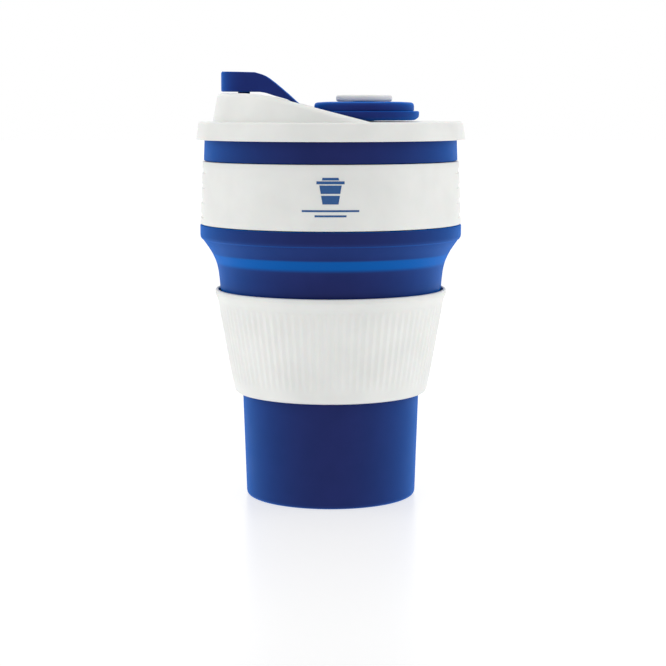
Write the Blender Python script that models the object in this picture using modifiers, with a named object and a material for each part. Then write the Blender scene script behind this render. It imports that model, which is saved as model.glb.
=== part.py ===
"""Collapsible travel cup: a folding silicone body, collar band, heat sleeve, spout lid and strap stopper.

Sizes are in millimetres, and MM turns them into Blender's metres. The cup stands on the XY plane with its
axis on Z, and the drinking spout points to -X.
"""

import math

import bmesh
import bpy
from mathutils import Matrix, Vector

MM = 0.001
SEGMENTS = 48
GAP = 0.3

# Silicone body: lower section
CUP_WALL = 2.4
FLOOR_THICKNESS = 2.6
FLOOR_FILLET = 2.0
FOOT_RADIUS = 27.3
FOOT_ROUND = 1.4
FOOT_RECESS_RADIUS = 23.0
FOOT_RECESS = 0.8
BASE_RADIUS = 30.0
BASE_TOP = 38.5

# Silicone body: middle ring and the thin folds below and above it
FOLD_WIDTH = 1.1
UPPER_FOLD_WIDTH = 1.5
LOWER_FOLD_LOW = (29.85, BASE_TOP + GAP)
RING_WALL = 2.0
RING_BOTTOM = 57.0
RING_TOP = 78.0
RING_RADIUS_BOTTOM = 34.65
RING_RADIUS_TOP = 38.0
RING_SEAT = (36.4, 67.0)
RING_MOUTH = (37.3, 70.9)
LOWER_FOLD_HIGH = (34.1, RING_BOTTOM - GAP)

# Silicone body: upper wall, with the ledge under the band and the rim strip above it
LEDGE_RADIUS = 43.9
LEDGE_INNER_RADIUS = 42.1
LEDGE_BOTTOM = 87.4
LEDGE_TOP = 91.6
LEDGE_ROUND = 0.9
LEDGE_CREASE = 0.3
UPPER_RADIUS = 41.5
UPPER_INNER_RADIUS = 40.1
UPPER_TAPER_TOP = 95.5
STRIP_RADIUS = 42.5
STRIP_BOTTOM = 113.2
RIM_RADIUS = 42.2
RIM_BEAD = 0.4
RIM_BEAD_HEIGHT = 122.2
RIM_TOP = 124.1
RIM_ROUND = 0.4
UPPER_FOLD_TOP = (43.2, LEDGE_BOTTOM - GAP)
UPPER_FOLD_KNEE = (40.4, 83.5)
UPPER_FOLD_SHIN = (39.2, 81.0)
UPPER_FOLD_LOW = (38.0, RING_TOP + GAP)

# Collar band
BAND_TOP = STRIP_BOTTOM - GAP
BAND_BOTTOM = LEDGE_TOP + GAP
BAND_RADIUS_TOP = 43.0
BAND_RADIUS_BOTTOM = 43.8
BAND_INNER_RADIUS = UPPER_RADIUS + GAP

# Heat sleeve
SLEEVE_WALL = 1.2
SLEEVE_TOP = 70.9
SLEEVE_LIP = (39.05, 69.6)
SLEEVE_NECK = (38.0, 67.0)
SLEEVE_HEEL = (32.9, 37.6)
SLEEVE_BOTTOM = 35.3
SLEEVE_HEM_RADIUS = 30.4

# Lid
LID_WALL = 1.8
LID_BOTTOM = 119.8
LID_RADIUS_BOTTOM = 45.0
LID_RADIUS_TOP = 44.2
DECK_TOP = 126.4
DECK_UNDER = DECK_TOP - LID_WALL
DECK_ROUND = 0.8
SKIRT_INNER_RADIUS = 43.1
PLUG_RING_RADIUS = 39.6
PLUG_RING_WALL = 1.5
PLUG_RING_BOTTOM = 117.6

# Raised spout on the lid: a frustum cut by a nearly level plateau and a long incline
SPOUT_RADIUS_LOW = 39.4
SPOUT_DRAFT = 0.18
SPOUT_SIDE_WALL = LID_WALL + 0.5
SPOUT_BLOCK_TOP = 138.0
SPOUT_BLOCK_BOTTOM = DECK_TOP - LID_WALL / 2
SPOUT_HOLLOW_BOTTOM = DECK_UNDER - LID_WALL / 2
SPOUT_FAR_LEFT = (-46.0, 136.05)
SPOUT_KNEE = (-22.6, 134.5)
SPOUT_FAR_RIGHT = (27.8, 124.4)
CUT_HEIGHT = 146.0
CUT_HALF_WIDTH = 48.0
CHANNEL_FLOOR = 128.6
CHANNEL_HALF_WIDTH = 8.6
CHANNEL_FOOT_X = -10.4
CHANNEL_HEAD = (-15.4, 134.5)
DRINK_HOLE_X = -29.0
DRINK_HOLE_RADIUS = 6.0

# Anchor of the strap: seat flange, strap disc, button with its stem, and retaining washer
ANCHOR_X = 11.2
STEM_RADIUS = 3.4
STEM_BORE = STEM_RADIUS + GAP
STEM_BOTTOM = 121.6
FLANGE_RADIUS = 18.2
FLANGE_BOTTOM = 126.8
FLANGE_TOP = 129.6
FLANGE_CONE = 1.6
DISC_RADIUS = 16.4
DISC_BOTTOM = FLANGE_TOP + GAP
DISC_TOP = 132.7
DISC_ROUND = 1.0
POCKET_RADIUS = FLANGE_RADIUS + 0.6
BUTTON_RADIUS = 9.4
BUTTON_BOTTOM = DISC_TOP + GAP
BUTTON_TOP = 135.2
WASHER_RADIUS = 7.0
WASHER_TOP = DECK_UNDER - GAP
WASHER_THICKNESS = 1.2

# Stopper: head, plug and strap, which swing about the strap's bend beside the disc
HINGE_X = -8.5
HINGE_HEIGHT = 130.3
STOPPER_LEFT = -36.6
STOPPER_TOP = 143.0
STOPPER_HALF_WIDTH = 8.4
STOPPER_UNDER = 136.3
SPLIT_X = -14.0
STRAP_HALF_WIDTH = 6.0
STRAP_END_X = HINGE_X - 0.4
STRAP_UNDER = 129.4
STRAP_UPPER = 131.1
ROOT_START_X = HINGE_X + 1.8
PLUG_TOP = STOPPER_UNDER + 1.0
PLUG_BOTTOM = 131.6
PLUG_RADIUS_TOP = 5.3
PLUG_RADIUS_BOTTOM = 4.6

SILICONE_BLUE = (0.013, 0.034, 0.235)
WHITE_PLASTIC = (0.82, 0.82, 0.80)


def clear_scene():
    for obj in list(bpy.data.objects):
        bpy.data.objects.remove(obj, do_unlink=True)


def make_collection(name):
    collection = bpy.data.collections.new(name)
    bpy.context.scene.collection.children.link(collection)
    return collection


def make_material(name, colour, roughness):
    material = bpy.data.materials.new(name)
    material.use_nodes = True
    shader = material.node_tree.nodes["Principled BSDF"]
    shader.inputs["Base Color"].default_value = (*colour, 1.0)
    shader.inputs["Roughness"].default_value = roughness
    shader.inputs["Metallic"].default_value = 0.0
    return material


def attach(obj, parent):
    """Parents an object so that its location stays in world coordinates."""
    obj.parent = parent
    obj.matrix_parent_inverse = Matrix.Translation(-parent.location)


def make_frame(name, collection, parent=None, x=0.0, z=0.0):
    """An empty on a joint's axis, which carries the pieces that move together."""
    frame = bpy.data.objects.new(name, None)
    frame.empty_display_size = 10 * MM
    frame.location = (x * MM, 0, z * MM)
    collection.objects.link(frame)
    if parent:
        attach(frame, parent)
    return frame


def arc(x, z, radius, start, end, steps=4):
    """Points on a circle, from one angle in degrees to another."""
    angles = [math.radians(start + (end - start) * step / steps) for step in range(steps + 1)]
    return [(x + radius * math.cos(angle), z + radius * math.sin(angle)) for angle in angles]


def link_mesh(name, bm, collection, x=0.0, z=0.0):
    mesh = bpy.data.meshes.new(name)
    bm.to_mesh(mesh)
    bm.free()
    obj = bpy.data.objects.new(name, mesh)
    obj.location = (x * MM, 0, z * MM)
    collection.objects.link(obj)
    return obj


def turned(name, profile, collection, x=0.0):
    """A closed outline of (radius, height) points, turned about a vertical axis.

    The outline runs down its outer side. Two neighbouring points on the axis aren't joined.
    """
    base = min(height for _, height in profile)
    bm = bmesh.new()
    verts = [bm.verts.new((radius * MM, 0, (height - base) * MM)) for radius, height in profile]
    for first, second in zip(verts, verts[1:] + verts[:1]):
        if first.co.x > 0 or second.co.x > 0:
            bm.edges.new((first, second))
    obj = link_mesh(name, bm, collection, x, base)
    screw = obj.modifiers.new("Turn", "SCREW")
    screw.axis = "Z"
    screw.angle = math.tau
    screw.steps = SEGMENTS
    screw.render_steps = SEGMENTS
    screw.use_merge_vertices = True
    screw.merge_threshold = 0.00001
    screw.use_smooth_shade = True
    return obj


def frustum(name, x, bottom, top, radius, radius_top, collection):
    bm = bmesh.new()
    bmesh.ops.create_cone(
        bm,
        cap_ends=True,
        segments=SEGMENTS,
        radius1=radius * MM,
        radius2=radius_top * MM,
        depth=(top - bottom) * MM,
    )
    return link_mesh(name, bm, collection, x, (bottom + top) / 2)


def slab(name, outline, thickness, collection, upright):
    """A flat outline, filled and given a thickness about its plane, as a mesh that can be cut.

    An upright slab has an (x, height) outline and its thickness along Y. A level one has an (x, y)
    outline and its thickness along Z.
    """
    curve = bpy.data.curves.new(name, "CURVE")
    curve.dimensions = "2D"
    curve.fill_mode = "BOTH"
    curve.extrude = thickness / 2 * MM
    spline = curve.splines.new("POLY")
    spline.points.add(len(outline) - 1)
    for point, (across, along) in zip(spline.points, outline):
        point.co = (across * MM, along * MM, 0, 1)
    spline.use_cyclic_u = True
    guide = bpy.data.objects.new(name, curve)
    guide.rotation_euler.x = math.pi / 2 if upright else 0
    collection.objects.link(guide)
    bpy.context.view_layer.update()
    mesh = bpy.data.meshes.new_from_object(guide.evaluated_get(bpy.context.evaluated_depsgraph_get()))
    mesh.transform(guide.matrix_world)
    bpy.data.objects.remove(guide, do_unlink=True)
    bm = bmesh.new()
    bm.from_mesh(mesh)
    bmesh.ops.remove_doubles(bm, verts=bm.verts, dist=0.000001)
    bmesh.ops.recalc_face_normals(bm, faces=bm.faces)
    return link_mesh(name, bm, collection)


def combine(target, other, operation):
    """A live Boolean on the target. The other piece becomes a hidden helper."""
    boolean = target.modifiers.new(other.name, "BOOLEAN")
    boolean.operation = operation
    boolean.object = other
    other.hide_render = True
    other.display_type = "WIRE"


def round_edges(obj, width, segments=2):
    """Rounds every sharp edge."""
    bevel = obj.modifiers.new("Round edges", "BEVEL")
    bevel.width = width * MM
    bevel.segments = segments
    bevel.limit_method = "ANGLE"
    bevel.angle_limit = math.radians(50)


def finish(obj, parent, material):
    obj.data.materials.append(material)
    obj.data.shade_smooth()
    obj.data.set_sharp_from_angle(angle=math.radians(35))
    attach(obj, parent)


def base_cup(parts):
    """The lower section of the silicone body, with its floor and foot."""
    inner_top = BASE_RADIUS - CUP_WALL
    inner_floor = FOOT_RADIUS + FOOT_ROUND - CUP_WALL - FLOOR_FILLET
    profile = [(0, FLOOR_THICKNESS)]
    profile += arc(inner_floor, FLOOR_THICKNESS + FLOOR_FILLET, FLOOR_FILLET, -90, 0, 3)
    profile += [(inner_top, BASE_TOP), (BASE_RADIUS, BASE_TOP)]
    profile += arc(FOOT_RADIUS, FOOT_ROUND, FOOT_ROUND, 0, -90, 3)
    profile += [(FOOT_RECESS_RADIUS, 0), (FOOT_RECESS_RADIUS - FOOT_RECESS, FOOT_RECESS), (0, FOOT_RECESS)]
    return turned("base_cup", profile, parts)


def fold(name, line, width, parts):
    """A thin web between two stiff rings. Its line runs down the outer side."""
    inner = [(radius - width, height) for radius, height in reversed(line)]
    return turned(name, line + inner, parts)


def lower_fold(parts):
    return fold("lower_fold", [LOWER_FOLD_HIGH, LOWER_FOLD_LOW], FOLD_WIDTH, parts)


def upper_fold(parts):
    line = [UPPER_FOLD_TOP, UPPER_FOLD_KNEE, UPPER_FOLD_SHIN, UPPER_FOLD_LOW]
    return fold("upper_fold", line, UPPER_FOLD_WIDTH, parts)


def middle_ring(parts):
    """The stiff ring that carries the heat sleeve."""
    profile = [
        (RING_RADIUS_BOTTOM - RING_WALL, RING_BOTTOM),
        (RING_RADIUS_TOP - RING_WALL, RING_TOP),
        (RING_RADIUS_TOP, RING_TOP),
        RING_MOUTH,
        RING_SEAT,
        (RING_RADIUS_BOTTOM, RING_BOTTOM),
    ]
    return turned("middle_ring", profile, parts)


def upper_wall(parts):
    """The top section of the silicone body: ledge, seat for the band, rim strip and rim."""
    profile = [
        (LEDGE_INNER_RADIUS, LEDGE_BOTTOM),
        (UPPER_INNER_RADIUS, UPPER_TAPER_TOP),
        (UPPER_INNER_RADIUS, RIM_TOP - RIM_ROUND),
        (UPPER_INNER_RADIUS + RIM_ROUND, RIM_TOP),
        (RIM_RADIUS - RIM_ROUND, RIM_TOP),
        (RIM_RADIUS, RIM_TOP - RIM_ROUND),
        (RIM_RADIUS + RIM_BEAD, RIM_BEAD_HEIGHT),
        (RIM_RADIUS, RIM_BEAD_HEIGHT - 2 * RIM_BEAD),
        (STRIP_RADIUS, STRIP_BOTTOM),
        (UPPER_RADIUS, STRIP_BOTTOM),
        (UPPER_RADIUS, LEDGE_TOP),
        (LEDGE_RADIUS - LEDGE_CREASE, LEDGE_TOP),
        (LEDGE_RADIUS, LEDGE_TOP - LEDGE_CREASE),
    ]
    profile += arc(LEDGE_RADIUS - LEDGE_ROUND, LEDGE_BOTTOM + LEDGE_ROUND, LEDGE_ROUND, 0, -90, 3)
    return turned("upper_wall", profile, parts)


def collar_band(parts):
    profile = [
        (BAND_INNER_RADIUS, BAND_TOP),
        (BAND_RADIUS_TOP, BAND_TOP),
        (BAND_RADIUS_BOTTOM, BAND_BOTTOM),
        (BAND_INNER_RADIUS, BAND_BOTTOM),
    ]
    return turned("collar_band", profile, parts)


def heat_sleeve(parts):
    """The loose sleeve: a flared lip, a tapered wall and a hem that turns in under the ring."""
    lip_radius, lip_height = SLEEVE_LIP
    neck_radius, neck_height = SLEEVE_NECK
    heel_radius, heel_height = SLEEVE_HEEL
    hem_round = heel_height - SLEEVE_BOTTOM
    profile = [
        (lip_radius - SLEEVE_WALL, SLEEVE_TOP - GAP),
        (lip_radius - 0.9, SLEEVE_TOP),
        (lip_radius - 0.3, SLEEVE_TOP - 0.1),
        (lip_radius, SLEEVE_TOP - 0.6),
        SLEEVE_LIP,
        SLEEVE_NECK,
        SLEEVE_HEEL,
        (heel_radius - 0.3 * hem_round, heel_height - 0.65 * hem_round),
        (heel_radius - 0.75 * hem_round, SLEEVE_BOTTOM + 0.1 * hem_round),
        (SLEEVE_HEM_RADIUS + GAP, SLEEVE_BOTTOM),
        (SLEEVE_HEM_RADIUS, SLEEVE_BOTTOM + GAP),
        (SLEEVE_HEM_RADIUS, SLEEVE_BOTTOM + 3 * GAP),
        (heel_radius - SLEEVE_WALL, heel_height + 2 * GAP),
        (neck_radius - SLEEVE_WALL, neck_height),
        (lip_radius - SLEEVE_WALL, lip_height - GAP),
    ]
    return turned("heat_sleeve", profile, parts)


def lid_cap(parts):
    """The turned part of the lid: deck, skirt and the inner ring that plugs the rim."""
    profile = [(0, DECK_TOP)]
    profile += arc(LID_RADIUS_TOP - DECK_ROUND, DECK_TOP - DECK_ROUND, DECK_ROUND, 90, 0, 3)
    profile += [
        (LID_RADIUS_BOTTOM, LID_BOTTOM),
        (SKIRT_INNER_RADIUS, LID_BOTTOM),
        (SKIRT_INNER_RADIUS, DECK_UNDER),
        (PLUG_RING_RADIUS, DECK_UNDER),
        (PLUG_RING_RADIUS, PLUG_RING_BOTTOM),
        (PLUG_RING_RADIUS - PLUG_RING_WALL, PLUG_RING_BOTTOM),
        (PLUG_RING_RADIUS - PLUG_RING_WALL, DECK_UNDER),
        (0, DECK_UNDER),
    ]
    return turned("lid_shell", profile, parts)


def spout_frustum(name, bottom, inset, cutters):
    """The spout's conical side, set in by a wall's thickness."""
    def radius_at(height):
        return SPOUT_RADIUS_LOW - inset - SPOUT_DRAFT * (height - DECK_TOP)

    top = SPOUT_BLOCK_TOP
    return frustum(name, 0, bottom, top, radius_at(bottom), radius_at(top), cutters)


def above_spout(name, drop, cutters):
    """All the space above the spout's plateau and incline, lowered by a wall's thickness."""
    outline = [(x, z - drop) for x, z in (SPOUT_FAR_LEFT, SPOUT_KNEE, SPOUT_FAR_RIGHT)]
    outline += [(SPOUT_FAR_RIGHT[0] + CUT_HALF_WIDTH, SPOUT_FAR_RIGHT[1] - drop)]
    outline += [(SPOUT_FAR_RIGHT[0] + CUT_HALF_WIDTH, CUT_HEIGHT), (SPOUT_FAR_LEFT[0], CUT_HEIGHT)]
    return slab(name, outline, 2 * CUT_HALF_WIDTH, cutters, upright=True)


def strap_channel(cutters):
    outline = [
        CHANNEL_HEAD,
        (CHANNEL_FOOT_X, CHANNEL_FLOOR),
        (ANCHOR_X, CHANNEL_FLOOR),
        (ANCHOR_X, CUT_HEIGHT),
        (CHANNEL_HEAD[0], CUT_HEIGHT),
    ]
    return slab("strap_channel", outline, 2 * CHANNEL_HALF_WIDTH, cutters, upright=True)


def channel_walls(cutters):
    """The plastic that stays under and beside the strap channel."""
    outline = [
        (CHANNEL_HEAD[0] - LID_WALL, CHANNEL_HEAD[1]),
        (CHANNEL_FOOT_X - LID_WALL, CHANNEL_FLOOR - LID_WALL),
        (ANCHOR_X, CHANNEL_FLOOR - LID_WALL),
        (ANCHOR_X, CHANNEL_HEAD[1]),
    ]
    width = 2 * (CHANNEL_HALF_WIDTH + LID_WALL)
    return slab("channel_walls", outline, width, cutters, upright=True)


def spout_block(cutters):
    block = spout_frustum("spout_block", SPOUT_BLOCK_BOTTOM, 0, cutters)
    combine(block, above_spout("above_spout", 0, cutters), "DIFFERENCE")
    pocket = frustum("anchor_pocket", ANCHOR_X, LID_BOTTOM, CUT_HEIGHT, POCKET_RADIUS, POCKET_RADIUS, cutters)
    combine(block, pocket, "DIFFERENCE")
    combine(block, strap_channel(cutters), "DIFFERENCE")
    return block


def spout_hollow(cutters):
    """The space under the spout, which leads the drink to the hole."""
    hollow = spout_frustum("spout_hollow", SPOUT_HOLLOW_BOTTOM, SPOUT_SIDE_WALL, cutters)
    combine(hollow, above_spout("above_hollow", LID_WALL, cutters), "DIFFERENCE")
    solid_radius = POCKET_RADIUS + LID_WALL
    solid = frustum("pocket_walls", ANCHOR_X, LID_BOTTOM - LID_WALL, CUT_HEIGHT, solid_radius, solid_radius, cutters)
    combine(hollow, solid, "DIFFERENCE")
    right_half = [
        (CHANNEL_FOOT_X, -CUT_HALF_WIDTH),
        (2 * CUT_HALF_WIDTH, -CUT_HALF_WIDTH),
        (2 * CUT_HALF_WIDTH, CUT_HALF_WIDTH),
        (CHANNEL_FOOT_X, CUT_HALF_WIDTH),
    ]
    deck_side = slab("deck_side", right_half, 2 * CUT_HEIGHT, cutters, upright=False)
    combine(hollow, deck_side, "DIFFERENCE")
    combine(hollow, channel_walls(cutters), "DIFFERENCE")
    return hollow


def lid_shell(parts, cutters):
    """The lid with its raised spout, drinking hole, strap channel and the bore for the stem."""
    lid = lid_cap(parts)
    combine(lid, spout_block(cutters), "UNION")
    combine(lid, spout_hollow(cutters), "DIFFERENCE")
    holes = (
        ("drink_hole", DRINK_HOLE_X, DRINK_HOLE_RADIUS),
        ("stem_bore", ANCHOR_X, STEM_BORE),
    )
    for name, x, radius in holes:
        combine(lid, frustum(name, x, PLUG_RING_BOTTOM, CUT_HEIGHT, radius, radius, cutters), "DIFFERENCE")
    return lid


def seat_flange(parts):
    profile = [(STEM_BORE, FLANGE_TOP), (FLANGE_RADIUS - GAP, FLANGE_TOP)]
    profile += [(FLANGE_RADIUS, FLANGE_TOP - GAP), (FLANGE_RADIUS - GAP, FLANGE_BOTTOM + 3 * GAP)]
    profile += [(FLANGE_RADIUS - FLANGE_CONE, FLANGE_BOTTOM), (STEM_BORE, FLANGE_BOTTOM)]
    return turned("seat_flange", profile, parts, ANCHOR_X)


def strap_disc(parts, cutters):
    """The strap's round end, with the short fixed root that the strap bends from."""
    profile = [(STEM_BORE, DISC_TOP)]
    profile += arc(DISC_RADIUS - DISC_ROUND, DISC_TOP - DISC_ROUND, DISC_ROUND, 90, 0, 3)
    profile += [(DISC_RADIUS, DISC_BOTTOM), (STEM_BORE, DISC_BOTTOM)]
    disc = turned("strap_disc", profile, parts, ANCHOR_X)
    root_end = ANCHOR_X - DISC_RADIUS + 3
    root = [
        (ROOT_START_X, DISC_BOTTOM),
        (root_end, DISC_BOTTOM),
        (root_end, STRAP_UPPER),
        (ROOT_START_X, STRAP_UPPER),
    ]
    combine(disc, slab("strap_root", root, 2 * STRAP_HALF_WIDTH, cutters, upright=True), "UNION")
    return disc


def button(parts):
    """The white button: a cap with a round edge on a stem that passes through the lid."""
    edge = (BUTTON_TOP - BUTTON_BOTTOM) / 2
    profile = [(0, BUTTON_TOP)]
    profile += arc(BUTTON_RADIUS - edge, BUTTON_BOTTOM + edge, edge, 90, -90, 6)
    profile += [(STEM_RADIUS, BUTTON_BOTTOM), (STEM_RADIUS, STEM_BOTTOM), (0, STEM_BOTTOM)]
    return turned("button", profile, parts, ANCHOR_X)


def retaining_washer(parts):
    bottom = WASHER_TOP - WASHER_THICKNESS
    profile = [(STEM_BORE, WASHER_TOP), (WASHER_RADIUS, WASHER_TOP), (WASHER_RADIUS, bottom), (STEM_BORE, bottom)]
    return turned("retaining_washer", profile, parts, ANCHOR_X)


def stopper_side(name, collection):
    """The side outline of the stopper: a flat head that sweeps down into the thin strap."""
    upper = [
        (STOPPER_LEFT, STOPPER_TOP),
        (-25.0, STOPPER_TOP - 0.3),
        (-22.3, 141.8),
        (-19.5, 140.4),
        (-16.4, 138.2),
        (-13.8, 135.7),
        (-10.6, 132.3),
        (STRAP_END_X, STRAP_UPPER),
    ]
    under = [
        (STRAP_END_X, STRAP_UNDER),
        (-9.8, STRAP_UNDER + 0.2),
        (-13.5, 133.3),
        (SPOUT_KNEE[0], STOPPER_UNDER - 0.1),
        (STOPPER_LEFT, STOPPER_UNDER),
    ]
    return slab(name, upper + under, 3 * STOPPER_HALF_WIDTH, collection, upright=True)


def stopper_head(parts, cutters):
    """The head with its round free end, and the tapered plug under it."""
    centre = STOPPER_LEFT + STOPPER_HALF_WIDTH
    plan = arc(centre, 0, STOPPER_HALF_WIDTH, 90, 270, 12)
    plan += [(SPLIT_X, -STOPPER_HALF_WIDTH), (SPLIT_X, STOPPER_HALF_WIDTH)]
    head = stopper_side("stopper_head", parts)
    combine(head, slab("head_plan", plan, 4 * STOPPER_TOP, cutters, upright=False), "INTERSECT")
    round_edges(head, 0.5)
    plug = frustum("plug", DRINK_HOLE_X, PLUG_BOTTOM, PLUG_TOP, PLUG_RADIUS_BOTTOM, PLUG_RADIUS_TOP, cutters)
    combine(head, plug, "UNION")
    return head


def stopper_strap(parts, cutters):
    """The flexible strap between the head and the bend beside the disc."""
    start = SPLIT_X + GAP
    plan = [
        (start, STOPPER_HALF_WIDTH),
        (start, -STOPPER_HALF_WIDTH),
        (CHANNEL_FOOT_X, -STRAP_HALF_WIDTH),
        (HINGE_X, -STRAP_HALF_WIDTH),
        (HINGE_X, STRAP_HALF_WIDTH),
        (CHANNEL_FOOT_X, STRAP_HALF_WIDTH),
    ]
    strap = stopper_side("stopper_strap", parts)
    combine(strap, slab("strap_plan", plan, 4 * STOPPER_TOP, cutters, upright=False), "INTERSECT")
    return strap


def build():
    clear_scene()
    parts = make_collection("collapsible_travel_cup")
    cutters = make_collection("cutters")
    blue = make_material("silicone_blue", SILICONE_BLUE, 0.5)
    white = make_material("polypropylene_white", WHITE_PLASTIC, 0.35)

    base = make_frame("base_frame", parts)
    middle = make_frame("middle_frame", parts, base, z=RING_BOTTOM)
    upper = make_frame("upper_frame", parts, middle, z=LEDGE_BOTTOM)
    lid = make_frame("lid_frame", parts, upper, z=LID_BOTTOM)
    stopper = make_frame("stopper_frame", parts, lid, HINGE_X, HINGE_HEIGHT)
    sleeve = make_frame("sleeve_frame", parts, middle, z=SLEEVE_BOTTOM)

    pieces = (
        (base_cup(parts), base, blue),
        (lower_fold(parts), middle, blue),
        (middle_ring(parts), middle, blue),
        (upper_fold(parts), upper, blue),
        (upper_wall(parts), upper, blue),
        (collar_band(parts), upper, white),
        (heat_sleeve(parts), sleeve, white),
        (lid_shell(parts, cutters), lid, white),
        (seat_flange(parts), lid, blue),
        (strap_disc(parts, cutters), lid, blue),
        (button(parts), lid, white),
        (retaining_washer(parts), lid, white),
        (stopper_head(parts, cutters), stopper, blue),
        (stopper_strap(parts, cutters), stopper, blue),
    )
    for piece, frame, material in pieces:
        finish(piece, frame, material)


build()
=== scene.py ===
"""Collapsible travel cup: finished surfaces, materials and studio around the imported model.

Every class is one sub-assembly of the cup or one finish. Sizes are in millimetres and MM turns them into
Blender's metres. The cup stands on the XY plane with its axis on Z, and the drinking spout points to -X.
"""

import logging
import math
from dataclasses import dataclass
from enum import Enum
from typing import Any, Callable

import bmesh
import bpy
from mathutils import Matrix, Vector

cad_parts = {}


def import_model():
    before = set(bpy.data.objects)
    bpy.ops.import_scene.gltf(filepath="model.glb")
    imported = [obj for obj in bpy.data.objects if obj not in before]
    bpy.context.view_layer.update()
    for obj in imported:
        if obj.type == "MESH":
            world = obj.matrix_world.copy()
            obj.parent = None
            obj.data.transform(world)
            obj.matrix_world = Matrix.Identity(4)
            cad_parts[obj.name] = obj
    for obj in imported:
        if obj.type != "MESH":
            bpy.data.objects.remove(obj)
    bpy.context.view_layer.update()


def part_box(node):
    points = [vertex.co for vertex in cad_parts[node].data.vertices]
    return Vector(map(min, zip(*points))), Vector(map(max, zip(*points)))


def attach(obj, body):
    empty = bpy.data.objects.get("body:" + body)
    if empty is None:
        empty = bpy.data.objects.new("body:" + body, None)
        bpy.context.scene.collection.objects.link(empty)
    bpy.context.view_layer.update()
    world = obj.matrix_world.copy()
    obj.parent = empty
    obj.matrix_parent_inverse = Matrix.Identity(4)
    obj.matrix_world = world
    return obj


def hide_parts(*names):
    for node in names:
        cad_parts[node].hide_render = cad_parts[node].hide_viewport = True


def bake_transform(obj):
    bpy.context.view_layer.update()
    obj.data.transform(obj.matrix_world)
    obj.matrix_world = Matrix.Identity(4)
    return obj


MM = 0.001
# Corners closer together than this are one corner, in metres.
WELD = 0.000002
TURNED_SEGMENTS = 192
# Faces that meet at less than this many degrees are shaded as one surface.
SMOOTH_ANGLE = 32.0
# How strongly large faces keep their own direction next to small ones.
FLAT_FACE_WEIGHT = 60
# Faces that meet at less than this many degrees are one flat face that a cut has divided.
FLAT_ANGLE = 0.2
# Edges sharper than this many degrees make up a rim.
RIM_ANGLE = 45.0
# Turned pieces end in a small flat face at the axis.
POLE_RADIUS = 0.5
# Handling leaves patches of gloss this many times wider than a surface's grain.
HANDLING_PATCH = 40.0
# The attribute that marks the band of the web where the silicone's colour is painted brighter blue: a
# painted glow, standing in for light through the thin web.
PAINTED_GLOW = "painted_glow"
# A mix node's sockets share their names between its data types, so these are their places for colours.
MIX_SHARE = 0
MIX_FIRST = 6
MIX_SECOND = 7
MIX_RESULT = 2

Point = tuple[float, float]
Point3 = tuple[float, float, float]
Corner = tuple[float, ...]
Objects = list[bpy.types.Object]

log = logging.getLogger("travel_cup")


class Body(str, Enum):
    """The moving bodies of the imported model."""

    BASE = "base"
    MIDDLE = "middle"
    UPPER = "upper"
    SLEEVE = "sleeve"
    LID = "lid"
    STOPPER = "stopper"


class Slot(str, Enum):
    """The record's material slots."""

    CUP = "silicone_blue"
    STOPPER = "stopper_silicone"
    WHITE = "polypropylene_white"


class Join(str, Enum):
    """How a second solid is put to a first one."""

    ADD = "UNION"
    CUT = "DIFFERENCE"
    KEEP_COMMON = "INTERSECT"


@dataclass(frozen=True)
class Extent:
    """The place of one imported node, in millimetres."""

    left: float
    right: float
    bottom: float
    top: float
    radius: float

    @classmethod
    def of(cls, node: str) -> "Extent":
        """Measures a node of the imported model.

        Args:
            node: The node's name.

        Returns:
            Its extent along X and Z, and half its size along Y.
        """
        low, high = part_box(node)
        return cls(low.x / MM, high.x / MM, low.z / MM, high.z / MM, (high.y - low.y) / 2 / MM)


# ---------------------------------------------------------------------------------------------------------
# Bench: the hand tools that every sub-assembly is made with
# ---------------------------------------------------------------------------------------------------------


def deselect_all() -> None:
    """Leaves edit mode and clears the selection."""
    if bpy.context.mode != "OBJECT":
        bpy.ops.object.mode_set(mode="OBJECT")
    bpy.ops.object.select_all(action="DESELECT")


def hold(obj: bpy.types.Object) -> None:
    """Makes one object the selected and active one.

    Args:
        obj: The object to work on.
    """
    deselect_all()
    obj.select_set(True)
    bpy.context.view_layer.objects.active = obj


def start_piece(name: str) -> bpy.types.Object:
    """Names the primitive that was just added and opens it in edit mode, selected all over.

    Args:
        name: The name of the piece.

    Returns:
        The new object.
    """
    obj = bpy.context.object
    obj.name = name
    obj.data.name = name
    bpy.ops.object.mode_set(mode="EDIT")
    bpy.ops.mesh.select_mode(type="VERT")
    bpy.ops.mesh.select_all(action="SELECT")
    return obj


def close_piece(obj: bpy.types.Object) -> bpy.types.Object:
    """Merges doubles, fills the poles, turns the faces outwards and puts the origin at the frame's.

    Args:
        obj: The piece.

    Returns:
        The same piece, closed.
    """
    hold(obj)
    bpy.ops.object.mode_set(mode="EDIT")
    bpy.ops.mesh.select_all(action="SELECT")
    bpy.ops.mesh.remove_doubles(threshold=WELD)
    bpy.ops.mesh.fill_holes(sides=0)
    bpy.ops.mesh.normals_make_consistent(inside=False)
    bpy.ops.object.mode_set(mode="OBJECT")
    bpy.ops.object.transform_apply(location=True, rotation=True, scale=True)
    return obj


def pick(obj: bpy.types.Object, wanted: Callable[[Vector], bool]) -> int:
    """Selects the vertices whose place passes a test. The object is in edit mode at the origin.

    Args:
        obj: The object in edit mode.
        wanted: Takes a vertex's place in millimetres and says whether to select it.

    Returns:
        How many vertices were selected.
    """
    bpy.ops.mesh.select_mode(type="VERT")
    bpy.ops.mesh.select_all(action="DESELECT")
    shape = bmesh.from_edit_mesh(obj.data)
    for vertex in shape.verts:
        vertex.select_set(wanted(vertex.co / MM))
    shape.select_flush_mode()
    bmesh.update_edit_mesh(obj.data)
    return sum(vertex.select for vertex in shape.verts)


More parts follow.
